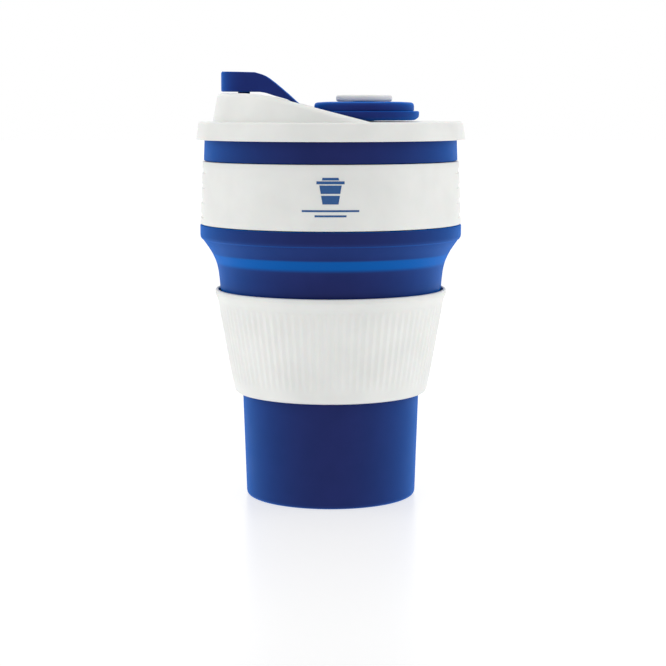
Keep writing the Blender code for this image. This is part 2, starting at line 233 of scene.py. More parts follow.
def apply_modifier(obj: bpy.types.Object, kind: str, settings: dict[str, Any]) -> None:
    """Adds one modifier with its settings and applies it.

    Args:
        obj: The piece.
        kind: The modifier's type.
        settings: Its properties by name.
    """
    hold(obj)
    bpy.ops.object.modifier_add(type=kind)
    modifier = obj.modifiers[-1]
    for name, value in settings.items():
        setattr(modifier, name, value)
    bpy.ops.object.modifier_apply(modifier=modifier.name)


def combine(obj: bpy.types.Object, other: bpy.types.Object, how: Join) -> None:
    """Adds, cuts or intersects a second solid, which is used up.

    Args:
        obj: The first solid, which is changed.
        other: The second solid.
        how: What is done with it.
    """
    apply_modifier(obj, "BOOLEAN", {"operation": how.value, "object": other, "solver": "EXACT"})
    bpy.data.objects.remove(other, do_unlink=True)


def round_edges(obj: bpy.types.Object, width: float, steps: int = 3, angle: float = 50.0) -> None:
    """Rounds every edge sharper than an angle.

    Args:
        obj: The piece to round.
        width: How far the rounding reaches from each edge.
        steps: How many faces it takes.
        angle: The sharpness, in degrees, from which an edge is rounded.
    """
    settings = {"width": width * MM, "segments": steps, "limit_method": "ANGLE"}
    settings |= {"angle_limit": math.radians(angle), "miter_outer": "MITER_ARC", "use_clamp_overlap": False}
    apply_modifier(obj, "BEVEL", settings)


def round_rim(obj: bpy.types.Object, width: float, steps: int = 4, merge: float = 0.6) -> None:
    """Rounds the sharp edges of a block generously, all but those round its foot.

    Args:
        obj: The block.
        width: How far the rounding reaches from each edge.
        steps: How many faces it takes.
        merge: Corners closer together than this are merged first, so that the rounding stays even.
    """
    hold(obj)
    bpy.ops.object.mode_set(mode="EDIT")
    bpy.ops.mesh.select_all(action="SELECT")
    bpy.ops.mesh.remove_doubles(threshold=merge * MM)
    bpy.ops.mesh.select_mode(type="EDGE")
    bpy.ops.mesh.select_all(action="DESELECT")
    shape = bmesh.from_edit_mesh(obj.data)
    foot = min(vertex.co.z for vertex in shape.verts) + MM
    for edge in shape.edges:
        high = min(vertex.co.z for vertex in edge.verts) > foot
        edge.select_set(high and edge.calc_face_angle(0.0) > math.radians(RIM_ANGLE))
    bmesh.update_edit_mesh(obj.data)
    bpy.ops.mesh.bevel(offset=width * MM, segments=steps, affect="EDGES", clamp_overlap=False)
    bpy.ops.mesh.select_mode(type="VERT")
    bpy.ops.object.mode_set(mode="OBJECT")


def tidy_faces(obj: bpy.types.Object, merge: float = 0.01) -> None:
    """Merges the slivers that a cut leaves and joins the flat faces again.

    Args:
        obj: The piece.
        merge: Corners closer together than this become one.
    """
    hold(obj)
    bpy.ops.object.mode_set(mode="EDIT")
    bpy.ops.mesh.select_all(action="SELECT")
    bpy.ops.mesh.remove_doubles(threshold=merge * MM)
    bpy.ops.mesh.dissolve_limited(angle_limit=math.radians(FLAT_ANGLE))
    bpy.ops.object.mode_set(mode="OBJECT")


def smooth(obj: bpy.types.Object, weighted: bool = False) -> None:
    """Shades a piece smooth.

    Args:
        obj: The piece.
        weighted: Whether large faces keep their own direction next to small ones.
    """
    hold(obj)
    bpy.ops.object.shade_smooth_by_angle(angle=math.radians(SMOOTH_ANGLE))
    if weighted:
        apply_modifier(obj, "WEIGHTED_NORMAL", {"keep_sharp": True, "weight": FLAT_FACE_WEIGHT})


def rounded(corners: list[Corner], steps: int = 4) -> list[Point]:
    """Turns a list of corners into an outline whose corners are rounded.

    Args:
        corners: (radius, height) or (radius, height, fillet), where a fillet is how far from the corner
            its curve begins.
        steps: How many straight lines make each curve.

    Returns:
        The points of the outline.
    """
    points: list[Point] = []
    for index, corner in enumerate(corners):
        here = Vector(corner[:2])
        fillet = corner[2] if len(corner) > 2 else 0.0
        if not fillet:
            points.append((here.x, here.y))
            continue
        before = here + (Vector(corners[index - 1][:2]) - here).normalized() * fillet
        after = here + (Vector(corners[(index + 1) % len(corners)][:2]) - here).normalized() * fillet
        for step in range(steps + 1):
            t = step / steps
            place = before * (1 - t) ** 2 + here * 2 * t * (1 - t) + after * t**2
            points.append((place.x, place.y))
    return points


def curve_through(points: list[Point], steps: int = 6) -> list[Point]:
    """A smooth line through a few chosen points.

    Args:
        points: The points that the line passes through.
        steps: How many straight lines it takes from each point to the next.

    Returns:
        The points of the line, ends included.
    """
    line = [Vector(point) for point in points]
    ends = [line[0] * 2 - line[1], *line, line[-1] * 2 - line[-2]]
    found: list[Point] = []
    for a, b, c, d in zip(ends, ends[1:], ends[2:], ends[3:]):
        for step in range(steps):
            t = step / steps
            place = b * 2 + (c - a) * t
            place += (a * 2 - b * 5 + c * 4 - d) * t**2
            place += (b * 3 - a - c * 3 + d) * t**3
            place /= 2
            found.append((place.x, place.y))
    return [*found, points[-1]]


def with_rings(line: list[Point], low: float, high: float, step: float) -> list[Point]:
    """Adds points to a line between two heights, so that the turned shape can fold smoothly there.

    Args:
        line: (radius, height) points.
        low: The height from which points are added.
        high: The height up to which they are added.
        step: The greatest distance between them.

    Returns:
        The line with its added points.
    """
    found: list[Point] = [line[0]]
    for start, end in zip(line, line[1:]):
        bends = low <= min(start[1], end[1]) and max(start[1], end[1]) <= high
        count = max(1, math.ceil(math.dist(start, end) / step)) if bends else 1
        for index in range(1, count + 1):
            share = index / count
            across = start[0] + (end[0] - start[0]) * share
            height = start[1] + (end[1] - start[1]) * share
            found.append((across, height))
    return found


def shifted(points: list[Point], across: float) -> list[Point]:
    """The same line moved sideways, in the other direction of travel.

    Args:
        points: (radius, height) points.
        across: How far it moves outwards.

    Returns:
        The moved line.
    """
    return [(radius + across, height) for radius, height in reversed(points)]


def turn(
    name: str, profile: list[Point], segments: int = TURNED_SEGMENTS, x: float = 0.0
) -> bpy.types.Object:
    """Turns a profile: a circle's edge loop is extruded and scaled from each point to the next.

    Args:
        name: The name of the piece.
        profile: (radius, height) points. An open end is closed at its pole.
        segments: How many sides the circle has.
        x: Where the axis stands.

    Returns:
        The closed piece.
    """
    (radius, height), *rest = profile
    start = (x * MM, 0, height * MM)
    deselect_all()
    bpy.ops.mesh.primitive_circle_add(vertices=segments, radius=radius * MM, location=start)
    obj = start_piece(name)
    for next_radius, next_height in rest:
        rise = (0, 0, (next_height - height) * MM)
        bpy.ops.mesh.extrude_region_move(TRANSFORM_OT_translate={"value": rise})
        share = next_radius / radius
        bpy.ops.transform.resize(value=(share, share, 1), center_override=(x * MM, 0, next_height * MM))
        radius, height = next_radius, next_height
    return close_piece(obj)


def prism(name: str, outline: list[Point], width: float, level: bool = False) -> bpy.types.Object:
    """A flat outline, drawn vertex by vertex, filled and extruded about its plane.

    Args:
        name: The name of the piece.
        outline: (x, height) points, or (x, y) points for a level one.
        width: The thickness, half on each side of Y = 0, or up from Z = 0 for a level one.
        level: Whether the outline lies level.

    Returns:
        The closed piece.
    """

    def place(point: Point) -> Vector:
        """Places one point of the outline.

        Args:
            point: The point in the outline's own plane.

        Returns:
            Its place in metres, on the near side.
        """
        across, along = point
        return Vector((across, along, 0) if level else (across, -width / 2, along)) * MM

    deselect_all()
    bpy.ops.mesh.primitive_plane_add(size=width * MM, location=place(outline[0]))
    obj = start_piece(name)
    bpy.ops.mesh.merge(type="CENTER")
    for here, following in zip(outline, outline[1:]):
        step = place(following) - place(here)
        bpy.ops.mesh.extrude_region_move(TRANSFORM_OT_translate={"value": step})
    bpy.ops.mesh.select_all(action="SELECT")
    bpy.ops.mesh.edge_face_add()
    through = (0, 0, width * MM) if level else (0, width * MM, 0)
    bpy.ops.mesh.extrude_region_move(TRANSFORM_OT_translate={"value": through})
    return close_piece(obj)


def cone(name: str, x: float, bottom: float, top: float, low: float, high: float) -> bpy.types.Object:
    """An upright frustum.

    Args:
        name: The name of the piece.
        x: Where its axis stands.
        bottom: The height of its lower face.
        top: The height of its upper face.
        low: The radius of its lower face.
        high: The radius of its upper face.

    Returns:
        The closed piece.
    """
    deselect_all()
    bpy.ops.mesh.primitive_cone_add(
        vertices=TURNED_SEGMENTS,
        radius1=low * MM,
        radius2=high * MM,
        depth=(top - bottom) * MM,
        location=(x * MM, 0, (bottom + top) / 2 * MM),
    )
    return close_piece(start_piece(name))


def slice_off(obj: bpy.types.Object, point: Point, slope: Point) -> None:
    """Cuts a solid along a plane parallel to Y and closes it.

    Args:
        obj: The solid.
        point: An (x, height) point of the plane.
        slope: The (x, height) direction that faces away from the part that stays.
    """
    hold(obj)
    bpy.ops.object.mode_set(mode="EDIT")
    bpy.ops.mesh.select_all(action="SELECT")
    at = (point[0] * MM, 0, point[1] * MM)
    facing = (slope[0], 0, slope[1])
    bpy.ops.mesh.bisect(plane_co=at, plane_no=facing, use_fill=True, clear_outer=True, threshold=WELD / 10)
    bpy.ops.object.mode_set(mode="OBJECT")


def score(obj: bpy.types.Object, places: list[float]) -> None:
    """Adds an edge loop across a piece at each x, so that it can bend there.

    Args:
        obj: The piece.
        places: Where the loops go.
    """
    hold(obj)
    bpy.ops.object.mode_set(mode="EDIT")
    for x in places:
        bpy.ops.mesh.select_all(action="SELECT")
        bpy.ops.mesh.bisect(plane_co=(x * MM, 0, 0), plane_no=(1, 0, 0), threshold=WELD / 10)
    bpy.ops.object.mode_set(mode="OBJECT")


def smoothstep(value: float, low: float, high: float) -> float:
    """An even change from 0 to 1.

    Args:
        value: Where it is asked for.
        low: Up to here the answer is 0.
        high: From here the answer is 1.

    Returns:
        The share, from 0 to 1.
    """
    t = min(max((value - low) / (high - low), 0.0), 1.0)
    return t * t * (3 - 2 * t)


# ---------------------------------------------------------------------------------------------------------
# Finishes
# ---------------------------------------------------------------------------------------------------------


def linear(hex_colour: str) -> tuple[float, float, float, float]:
    """Turns an sRGB hex colour into the linear one that a shader takes.

    Args:
        hex_colour: Six hexadecimal digits.

    Returns:
        Red, green, blue and a full alpha.
    """
    channels = [int(hex_colour[start : start + 2], 16) / 255 for start in (0, 2, 4)]
    parts = [c / 12.92 if c <= 0.04045 else ((c + 0.055) / 1.055) ** 2.4 for c in channels]
    return (*parts, 1.0)


def add_node(
    tree: bpy.types.NodeTree,
    kind: str,
    settings: dict[Any, Any] | None = None,
    links: dict[Any, bpy.types.NodeSocket] | None = None,
) -> bpy.types.Node:
    """Adds a node with its settings and links.

    Args:
        tree: The node tree.
        kind: The node's type.
        settings: Values of its inputs, by name or place, or of its properties.
        links: The output that feeds each input, by name or place.

    Returns:
        The new node.
    """
    node = tree.nodes.new(kind)
    for name, value in (settings or {}).items():
        if isinstance(name, int) or name in node.inputs:
            node.inputs[name].default_value = value
        else:
            setattr(node, name, value)
    for name, source in (links or {}).items():
        tree.links.new(source, node.inputs[name])
    return node


def grain_scale(size: float) -> float:
    """The scale of a noise on Object coordinates.

    Args:
        size: The width of one grain.

    Returns:
        How many grains one metre holds.
    """
    return 1 / (size * MM)


def new_material(name: str, shader: dict[str, Any]) -> tuple[bpy.types.Material, bpy.types.Node]:
    """A material with the shader's constants set on its own sockets.

    Args:
        name: What the real material is.
        shader: The values of the Principled shader's inputs.

    Returns:
        The material and its Principled shader.
    """
    material = bpy.data.materials.new(name)
    material.use_nodes = True
    principled = material.node_tree.nodes["Principled BSDF"]
    for socket, value in shader.items():
        principled.inputs[socket].default_value = value
    return material, principled


def drifting_colour(
    tree: bpy.types.NodeTree, size: float, detail: float, first: tuple[float, str], last: tuple[float, str]
) -> bpy.types.NodeSocket:
    """Two close colours that drift into each other over a surface.

    Args:
        tree: The material's node tree.
        size: The width of one cloud of colour.
        detail: How many finer clouds lie within it.
        first: Up to which level of the noise the first colour lasts, and its hex value.
        last: From which level the last colour is reached, and its hex value.

    Returns:
        The output with the colour.
    """
    place = add_node(tree, "ShaderNodeTexCoord").outputs["Object"]
    settings = {"Scale": grain_scale(size), "Detail": detail}
    cloud = add_node(tree, "ShaderNodeTexNoise", settings, {"Vector": place})
    ramp = add_node(tree, "ShaderNodeValToRGB", {}, {"Fac": cloud.outputs["Fac"]})
    for element, (level, colour) in zip(ramp.color_ramp.elements, (first, last)):
        element.position = level
        element.color = linear(colour)
    return ramp.outputs["Color"]


def surface_grain(
    tree: bpy.types.NodeTree, shader: bpy.types.Node, size: float, depth: float, spread: Point
) -> None:
    """Gives a moulded surface its fine grain, and a roughness that follows it.

    Args:
        tree: The material's node tree.
        shader: Its Principled shader.
        size: The width of one grain.
        depth: How deep the grain is.
        spread: The lowest and highest roughness.
    """
    place = add_node(tree, "ShaderNodeTexCoord").outputs["Object"]
    settings = {"Scale": grain_scale(size), "Detail": 3.0, "Roughness": 0.55}
    noise = add_node(tree, "ShaderNodeTexNoise", settings, {"Vector": place})
    settings = {"Strength": 1.0, "Distance": depth * MM}
    bump = add_node(tree, "ShaderNodeBump", settings, {"Height": noise.outputs["Fac"]})
    tree.links.new(bump.outputs["Normal"], shader.inputs["Normal"])
    settings = {"Scale": grain_scale(size * HANDLING_PATCH), "Detail": 2.0}
    patches = add_node(tree, "ShaderNodeTexNoise", settings, {"Vector": place})
    settings = {"From Min": 0.3, "From Max": 0.7, "To Min": spread[0], "To Max": spread[1]}
    gloss = add_node(tree, "ShaderNodeMapRange", settings, {"Value": patches.outputs["Fac"]})
    tree.links.new(gloss.outputs["Result"], shader.inputs["Roughness"])


@dataclass(frozen=True)
class MouldedSilicone:
    """Compression-moulded food-grade silicone, pigmented blue.

    The eye sees a matt, slightly powdery surface: deep navy from the dark ultramarine pigment, a saturated
    blue sheen that grows towards the sides, and a painted glow: a brighter blue base colour in the web's
    band, standing in for light through it.
    """

    name: str
    colour: str = "1e164a"
    worn_colour: str = "221b52"
    # Painted glow: the brighter blue painted into the web's band, standing in for light through the thin
    # web.
    painted_glow_colour: str = "0054a2"
    sheen_colour: str = "0089ff"
    sheen: float = 1.0
    sheen_spread: float = 0.6
    gloss: float = 0.12
    roughness: Point = (0.36, 0.46)
    index: float = 1.41
    grain: float = 0.35
    grain_depth: float = 0.006
    cloud: float = 9.0

    def make(self) -> bpy.types.Material:
        """Builds the material.

        Returns:
            The finished material.
        """
        constants = {"IOR": self.index, "Specular IOR Level": self.gloss, "Sheen Weight": self.sheen}
        constants |= {"Sheen Tint": linear(self.sheen_colour), "Sheen Roughness": self.sheen_spread}
        material, shader = new_material(self.name, constants)
        tree = material.node_tree
        thick = drifting_colour(tree, self.cloud, 4.0, (0.35, self.colour), (0.75, self.worn_colour))
        # Painted glow: where the attribute is set, the base colour turns to the brighter blue.
        painted_glow_share = add_node(tree, "ShaderNodeAttribute", {"attribute_name": PAINTED_GLOW}).outputs["Fac"]
        settings = {"data_type": "RGBA", MIX_SECOND: linear(self.painted_glow_colour)}
        mix = add_node(tree, "ShaderNodeMix", settings, {MIX_SHARE: painted_glow_share, MIX_FIRST: thick})
        tree.links.new(mix.outputs[MIX_RESULT], shader.inputs["Base Color"])
        surface_grain(tree, shader, self.grain, self.grain_depth, self.roughness)
        return material


@dataclass(frozen=True)
class MouldedPolypropylene:
    """Injection-moulded polypropylene with a white masterbatch, from a finely spark-eroded tool.

    The eye sees an even, slightly warm white with a soft semi-gloss and no sparkle, a little light carried
    under the surface, and hardly visible flow clouds.
    """

    name: str
    colour: str = "f1f2ef"
    flow_colour: str = "ebece9"
    roughness: Point = (0.30, 0.38)
    index: float = 1.49
    milkiness: float = 0.08
    light_reach: float = 1.2
    grain: float = 0.25
    grain_depth: float = 0.003
    cloud: float = 14.0

    def make(self) -> bpy.types.Material:
        """Builds the material.

        Returns:
            The finished material.
        """
        constants = {"IOR": self.index, "Subsurface Weight": self.milkiness}
        constants |= {"Subsurface Scale": self.light_reach * MM}
        material, shader = new_material(self.name, constants)
        tree = material.node_tree
        colour = drifting_colour(tree, self.cloud, 3.0, (0.35, self.flow_colour), (0.65, self.colour))
        tree.links.new(colour, shader.inputs["Base Color"])
        surface_grain(tree, shader, self.grain, self.grain_depth, self.roughness)
        return material


@dataclass(frozen=True)
class PadPrintInk:
    """Two-part pad-printing ink, laid thinly on the white band.

    The eye sees a flat blue with a faint unevenness where the silicone pad picked the ink up.
    """

    name: str
    colour: str = "174d86"
    thin_ink: str = "20599a"
    mottle: float = 0.8
    grain_depth: float = 0.002
    roughness: Point = (0.4, 0.5)
    index: float = 1.5

    def make(self) -> bpy.types.Material:
        """Builds the material.

        Returns:
            The finished material.
        """
        material, shader = new_material(self.name, {"IOR": self.index})
        tree = material.node_tree
        colour = drifting_colour(tree, self.mottle, 2.0, (0.0, self.colour), (1.0, self.thin_ink))
        tree.links.new(colour, shader.inputs["Base Color"])
        surface_grain(tree, shader, self.mottle, self.grain_depth, self.roughness)
        return material


@dataclass(frozen=True)
class Finishes:
    """The materials that the sub-assemblies are dressed with."""

    cup: bpy.types.Material
    stopper: bpy.types.Material
    white: bpy.types.Material
    ink: bpy.types.Material

    @classmethod
    def make(cls) -> "Finishes":
        """Builds every finish once.

        Returns:
            The set of materials.
        """
        return cls(
            cup=MouldedSilicone("moulded_silicone_body").make(),
            stopper=MouldedSilicone("moulded_silicone_stopper", "1c1e60", "20246a", grain=0.3).make(),
            white=MouldedPolypropylene("moulded_polypropylene").make(),
            ink=PadPrintInk("pad_print_ink").make(),
        )


def dress(obj: bpy.types.Object, material: bpy.types.Material) -> bpy.types.Object:
    """Gives a piece its material.

    Args:
        obj: The piece.
        material: Its finish.

    Returns:
        The same piece.
    """
    obj.data.materials.clear()
    obj.data.materials.append(material)
    return obj


# ---------------------------------------------------------------------------------------------------------
# Sub-assemblies
# ---------------------------------------------------------------------------------------------------------


@dataclass
class SiliconeBody:
    """The folding silicone cup, in two mouldings that meet behind the heat sleeve.

    The lower one holds the foot, the lower wall, the lower fold and the start of the stiff ring. The upper
    one holds the rest of the ring, the upper fold, the ledge, the band's seat and the rim.
    """

    wall: float = 2.4
    floor: float = 2.6
    foot_round: float = 1.4
    foot_draft: float = 1.3
    recess: float = 0.8
    recess_radius: float = 23.0
    web: float = 1.1
    upper_web: float = 1.5
    ring_wall: float = 2.0
    seam: float = 64.0
    seam_radius: float = 35.875
    seat: Point = (36.4, 67.0)
    mouth: Point = (37.3, 70.9)
    ledge_top: float = 92.15
    ledge_round: float = 0.9
    band_seat_radius: float = 41.5
    inner_radius: float = 40.1
    strip_bottom: float = 113.6
    strip_radius: float = 42.5
    rim_radius: float = 42.2
    bead: float = 0.4
    bead_height: float = 122.2
    # Heights where the painted glow fades in, is full and fades out again.
    painted_glow_band: tuple[float, float, float, float] = (78.6, 80.2, 82.3, 83.0)

    def lower(self) -> bpy.types.Object:
        """The lower moulding.

        Returns:
            The closed piece.
        """
        base, fold = Extent.of("base_cup"), Extent.of("lower_fold")
        foot_radius = base.radius - self.foot_draft
        inner_seam = self.seam_radius - self.ring_wall
        profile = rounded(
            [
                (POLE_RADIUS, self.recess),
                (self.recess_radius - self.recess, self.recess, 0.3),
                (self.recess_radius, base.bottom, 0.3),
                (foot_radius, base.bottom, self.foot_round),
                (base.radius, base.top, 1.2),
                (fold.radius + 0.1, fold.top, 1.5),
                (self.seam_radius, self.seam),
                (inner_seam, self.seam),
                (fold.radius - self.web - 0.4, fold.top + 0.4, 0.8),
                (base.radius - self.web, fold.bottom + 0.3, 0.5),
                (base.radius - self.wall, base.top - 0.8, 0.5),
                (foot_radius - self.wall, self.floor, 2.0),
                (POLE_RADIUS, self.floor),
            ]
        )
        return turn("silicone_body_lower", with_rings(profile, fold.bottom - 1, fold.top + 1, step=0.9))

    def upper(self) -> bpy.types.Object:
        """The upper moulding.

        Returns:
            The closed piece.
        """
        ring, fold, wall = (Extent.of(node) for node in ("middle_ring", "upper_fold", "upper_wall"))
        sweep = curve_through(
            [
                (self.mouth[0] + 0.25, self.mouth[1] + 2.8),
                (ring.radius - 0.1, ring.top - 1.4),
                (ring.radius + 0.55, fold.bottom + 1.1),
                (ring.radius + 1.5, fold.bottom + 3.4),
                (ring.radius + 2.7, fold.bottom + 5.6),
                (fold.radius - 0.5, fold.top - 0.3),
            ],
            steps=8,
        )
        outside = [(self.seam_radius, self.seam), self.seat, self.mouth, *sweep]
        outside += rounded(
            [
                (wall.radius - self.ledge_round * 0.55, wall.bottom, 0.35),
                (wall.radius, wall.bottom + self.ledge_round, 0.5),
                (wall.radius, self.ledge_top, 0.35),
                (self.band_seat_radius, self.ledge_top),
                (self.band_seat_radius, self.strip_bottom),
                (self.strip_radius, self.strip_bottom, 0.25),
                (self.rim_radius, self.bead_height - 2 * self.bead, 0.3),
                (self.rim_radius + self.bead, self.bead_height, 0.3),
                (self.rim_radius, wall.top - self.bead),
                (self.rim_radius - self.bead, wall.top),
                (self.inner_radius, wall.top, 0.4),
                (self.inner_radius, wall.bottom + 8.1, 1.5),
                (fold.radius - self.upper_web + 0.2, fold.top + 0.4, 0.8),
                (fold.radius - self.upper_web - 0.5, fold.top - 0.3),
            ]
        )
        inside = shifted(sweep, -self.upper_web)[1:]
        inner_ring = [self.mouth, self.seat, (self.seam_radius, self.seam)]
        inside += [(radius - self.ring_wall, height) for radius, height in inner_ring]
        inside.append((self.seam_radius, self.seam))
        return turn("silicone_body_upper", outside + inside)

    def mark_painted_glow(self, obj: bpy.types.Object) -> None:
        """Stores a painted glow: the band of the web whose colour is painted brighter blue, standing in for
        light through it.

        Args:
            obj: The upper moulding.
        """
        low_start, low_end, high_start, high_end = self.painted_glow_band
        field = obj.data.attributes.new(PAINTED_GLOW, "FLOAT", "POINT")
        glow = []
        for vertex in obj.data.vertices:
            height = vertex.co.z / MM
            rise = smoothstep(height, low_start, low_end)
            fall = 1 - smoothstep(height, high_start, high_end)
            glow.append(rise * fall)
        field.data.foreach_set("value", glow)

    def build(self, finishes: Finishes) -> Objects:
        """Builds both mouldings and dresses them.

        Args:
            finishes: The materials.

        Returns:
            The two pieces.
        """
        lower, upper = self.lower(), self.upper()
        for piece in (lower, upper):
            smooth(piece)
            dress(piece, finishes.cup)
        # Paints the glow band, a painted stand-in for light through the web, on the upper moulding.
        self.mark_painted_glow(upper)
        low, high = Extent.of("lower_fold"), Extent.of("upper_fold")
        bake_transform(lower)
        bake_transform(upper)
        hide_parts("base_cup", "lower_fold", "middle_ring")
        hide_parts("upper_fold", "upper_wall", "middle_ring")
        return [lower, upper]


@dataclass
class CollarBand:
    """The white band under the rim, with a grooved grip on either side and a small printed pictogram.

    The groove loops are edge loops across a groove, as shares of half its height.
    """

    segments: int = 360
    wall: float = 1.2
    lean: float = 0.8
    edge: float = 0.3
    lift: Point = (0.55, 0.4)
    groove_heights: tuple[float, ...] = (110.2, 105.2, 100.3, 95.4)
    groove_height: float = 1.5
    groove_loops: tuple[float, ...] = (-1.35, -1.0, -0.9, 0.9, 1.0, 1.35)
    groove_depth: float = 0.35
    grip_half_angle: float = 17.0
    print_distance: float = 60.0
    mark_lift: float = 0.03
    mark_thickness: float = 0.06

    def ring(self) -> bpy.types.Object:
        """The turned band with its grooves pressed in.

        Returns:
            The closed piece.
        """
        node = Extent.of("collar_band")
        bottom, top = node.bottom + self.lift[0], node.top + self.lift[1]
        inner = node.radius - self.lean - self.wall
        slope = self.lean / (top - bottom)
        heights = [self.edge + bottom]
        for middle in sorted(self.groove_heights):
            heights += [middle + share * self.groove_height / 2 for share in self.groove_loops]
        heights.append(top - self.edge)
        outside = [(node.radius - slope * (height - bottom), height) for height in heights]
        top_radius = node.radius - self.lean
        profile = [
            (inner, bottom),
            (node.radius - self.edge, bottom),
            (node.radius - self.edge * 0.3, bottom + self.edge * 0.3),
            *outside,
            (top_radius - self.edge * 0.3, top - self.edge * 0.3),
            (top_radius - self.edge, top),
            (inner, top),
            (inner, bottom),
        ]
        band = turn("collar_band_grip", profile, self.segments)
        self.press_grooves(band)
        return band

    def press_grooves(self, band: bpy.types.Object) -> None:
        """Scales the faces of each groove in, on both sides of the band.

        Args:
            band: The turned band.
        """
        skin = Extent.of("collar_band").radius - self.lean - self.wall / 2
        reach = self.groove_height / 2
        share = 1 - self.groove_depth / Extent.of("collar_band").radius
        hold(band)
        bpy.ops.object.mode_set(mode="EDIT")

        def in_groove(place: Vector) -> bool:
            """Tells the floor of a groove.

            Args:
                place: A vertex's place in millimetres.

            Returns:
                Whether it is on the floor of a groove.
            """
            angle = math.degrees(math.atan2(abs(place.y), abs(place.x)))
            near = any(abs(place.z - middle) < reach * 0.95 for middle in self.groove_heights)
            return near and angle < self.grip_half_angle and math.hypot(place.x, place.y) > skin

        pick(band, in_groove)
        bpy.ops.transform.resize(value=(share, share, 1), center_override=(0, 0, 0))
        bpy.ops.object.mode_set(mode="OBJECT")

    def plate(self, width: float, top_width: float, bottom: float, height: float) -> bpy.types.Object:
        """One flat shape of the pictogram: a grid in front of the band, drawn in or out towards its top.

        Args:
            width: Its width at the bottom.
            top_width: Its width at the top.
            bottom: The height it starts at.
            height: How tall it is.

        Returns:
            The flat grid.
        """
        centre = Vector((0, -self.print_distance, bottom + height / 2)) * MM
        columns, rows = max(2, round(max(width, top_width) / 0.4)), max(2, round(height))
        standing = {"size": 1, "location": centre, "rotation": (math.pi / 2, 0, 0)}
        deselect_all()
        bpy.ops.mesh.primitive_grid_add(x_subdivisions=columns, y_subdivisions=rows, **standing)
        obj = start_piece("mark")
        bpy.ops.transform.resize(value=(width * MM, 1, height * MM), center_override=centre)
        bpy.ops.object.mode_set(mode="OBJECT")
        bpy.ops.object.transform_apply(location=True, rotation=True, scale=True)
        levels = sorted({round(vertex.co.z / MM, 3) for vertex in obj.data.vertices})
        bpy.ops.object.mode_set(mode="EDIT")
        for level in levels:
            share = 1 + (top_width / width - 1) * (level - bottom) / height
            pick(obj, lambda place, level=level: abs(place.z - level) < 0.01)
            bpy.ops.transform.resize(value=(share, 1, 1), center_override=(0, 0, 0))
        bpy.ops.object.mode_set(mode="OBJECT")
        return obj

    def mark(self, band: bpy.types.Object) -> bpy.types.Object:
        """A plain pictogram of a cup with a lid over two bars, printed on the front of the band.

        Args:
            band: The band that it lies on.

        Returns:
            The print.
        """
        shapes = [
            self.plate(5.0, 5.9, 101.0, 2.7),
            self.plate(6.1, 7.0, 104.3, 2.6),
            self.plate(8.8, 8.8, 107.3, 0.9),
            self.plate(5.4, 5.0, 108.5, 0.8),
            self.plate(18.0, 18.0, 98.6, 0.6),
            self.plate(10.0, 10.0, 97.0, 0.6),
        ]
        deselect_all()
        for shape in shapes:
            shape.select_set(True)
        bpy.context.view_layer.objects.active = shapes[0]
        bpy.ops.object.join()
        mark = shapes[0]
        mark.name = "printed_pictogram"
        project = {"wrap_method": "PROJECT", "use_project_y": True, "use_positive_direction": True}
        project |= {"target": band, "offset": self.mark_lift * MM, "wrap_mode": "ABOVE_SURFACE"}
        apply_modifier(mark, "SHRINKWRAP", project)
        apply_modifier(mark, "SOLIDIFY", {"thickness": self.mark_thickness * MM, "offset": 1.0})
        return close_piece(mark)

    def build(self, finishes: Finishes) -> Objects:
        """Builds the band and the print on it.

        Args:
            finishes: The materials.

        Returns:
            The pieces.
        """
        band = self.ring()
        smooth(band)
        dress(band, finishes.white)
        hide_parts("collar_band")
        mark = self.mark(band)
        dress(mark, finishes.ink)
        for piece in (band, mark):
            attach(piece, Body.UPPER)
        return [band, mark]


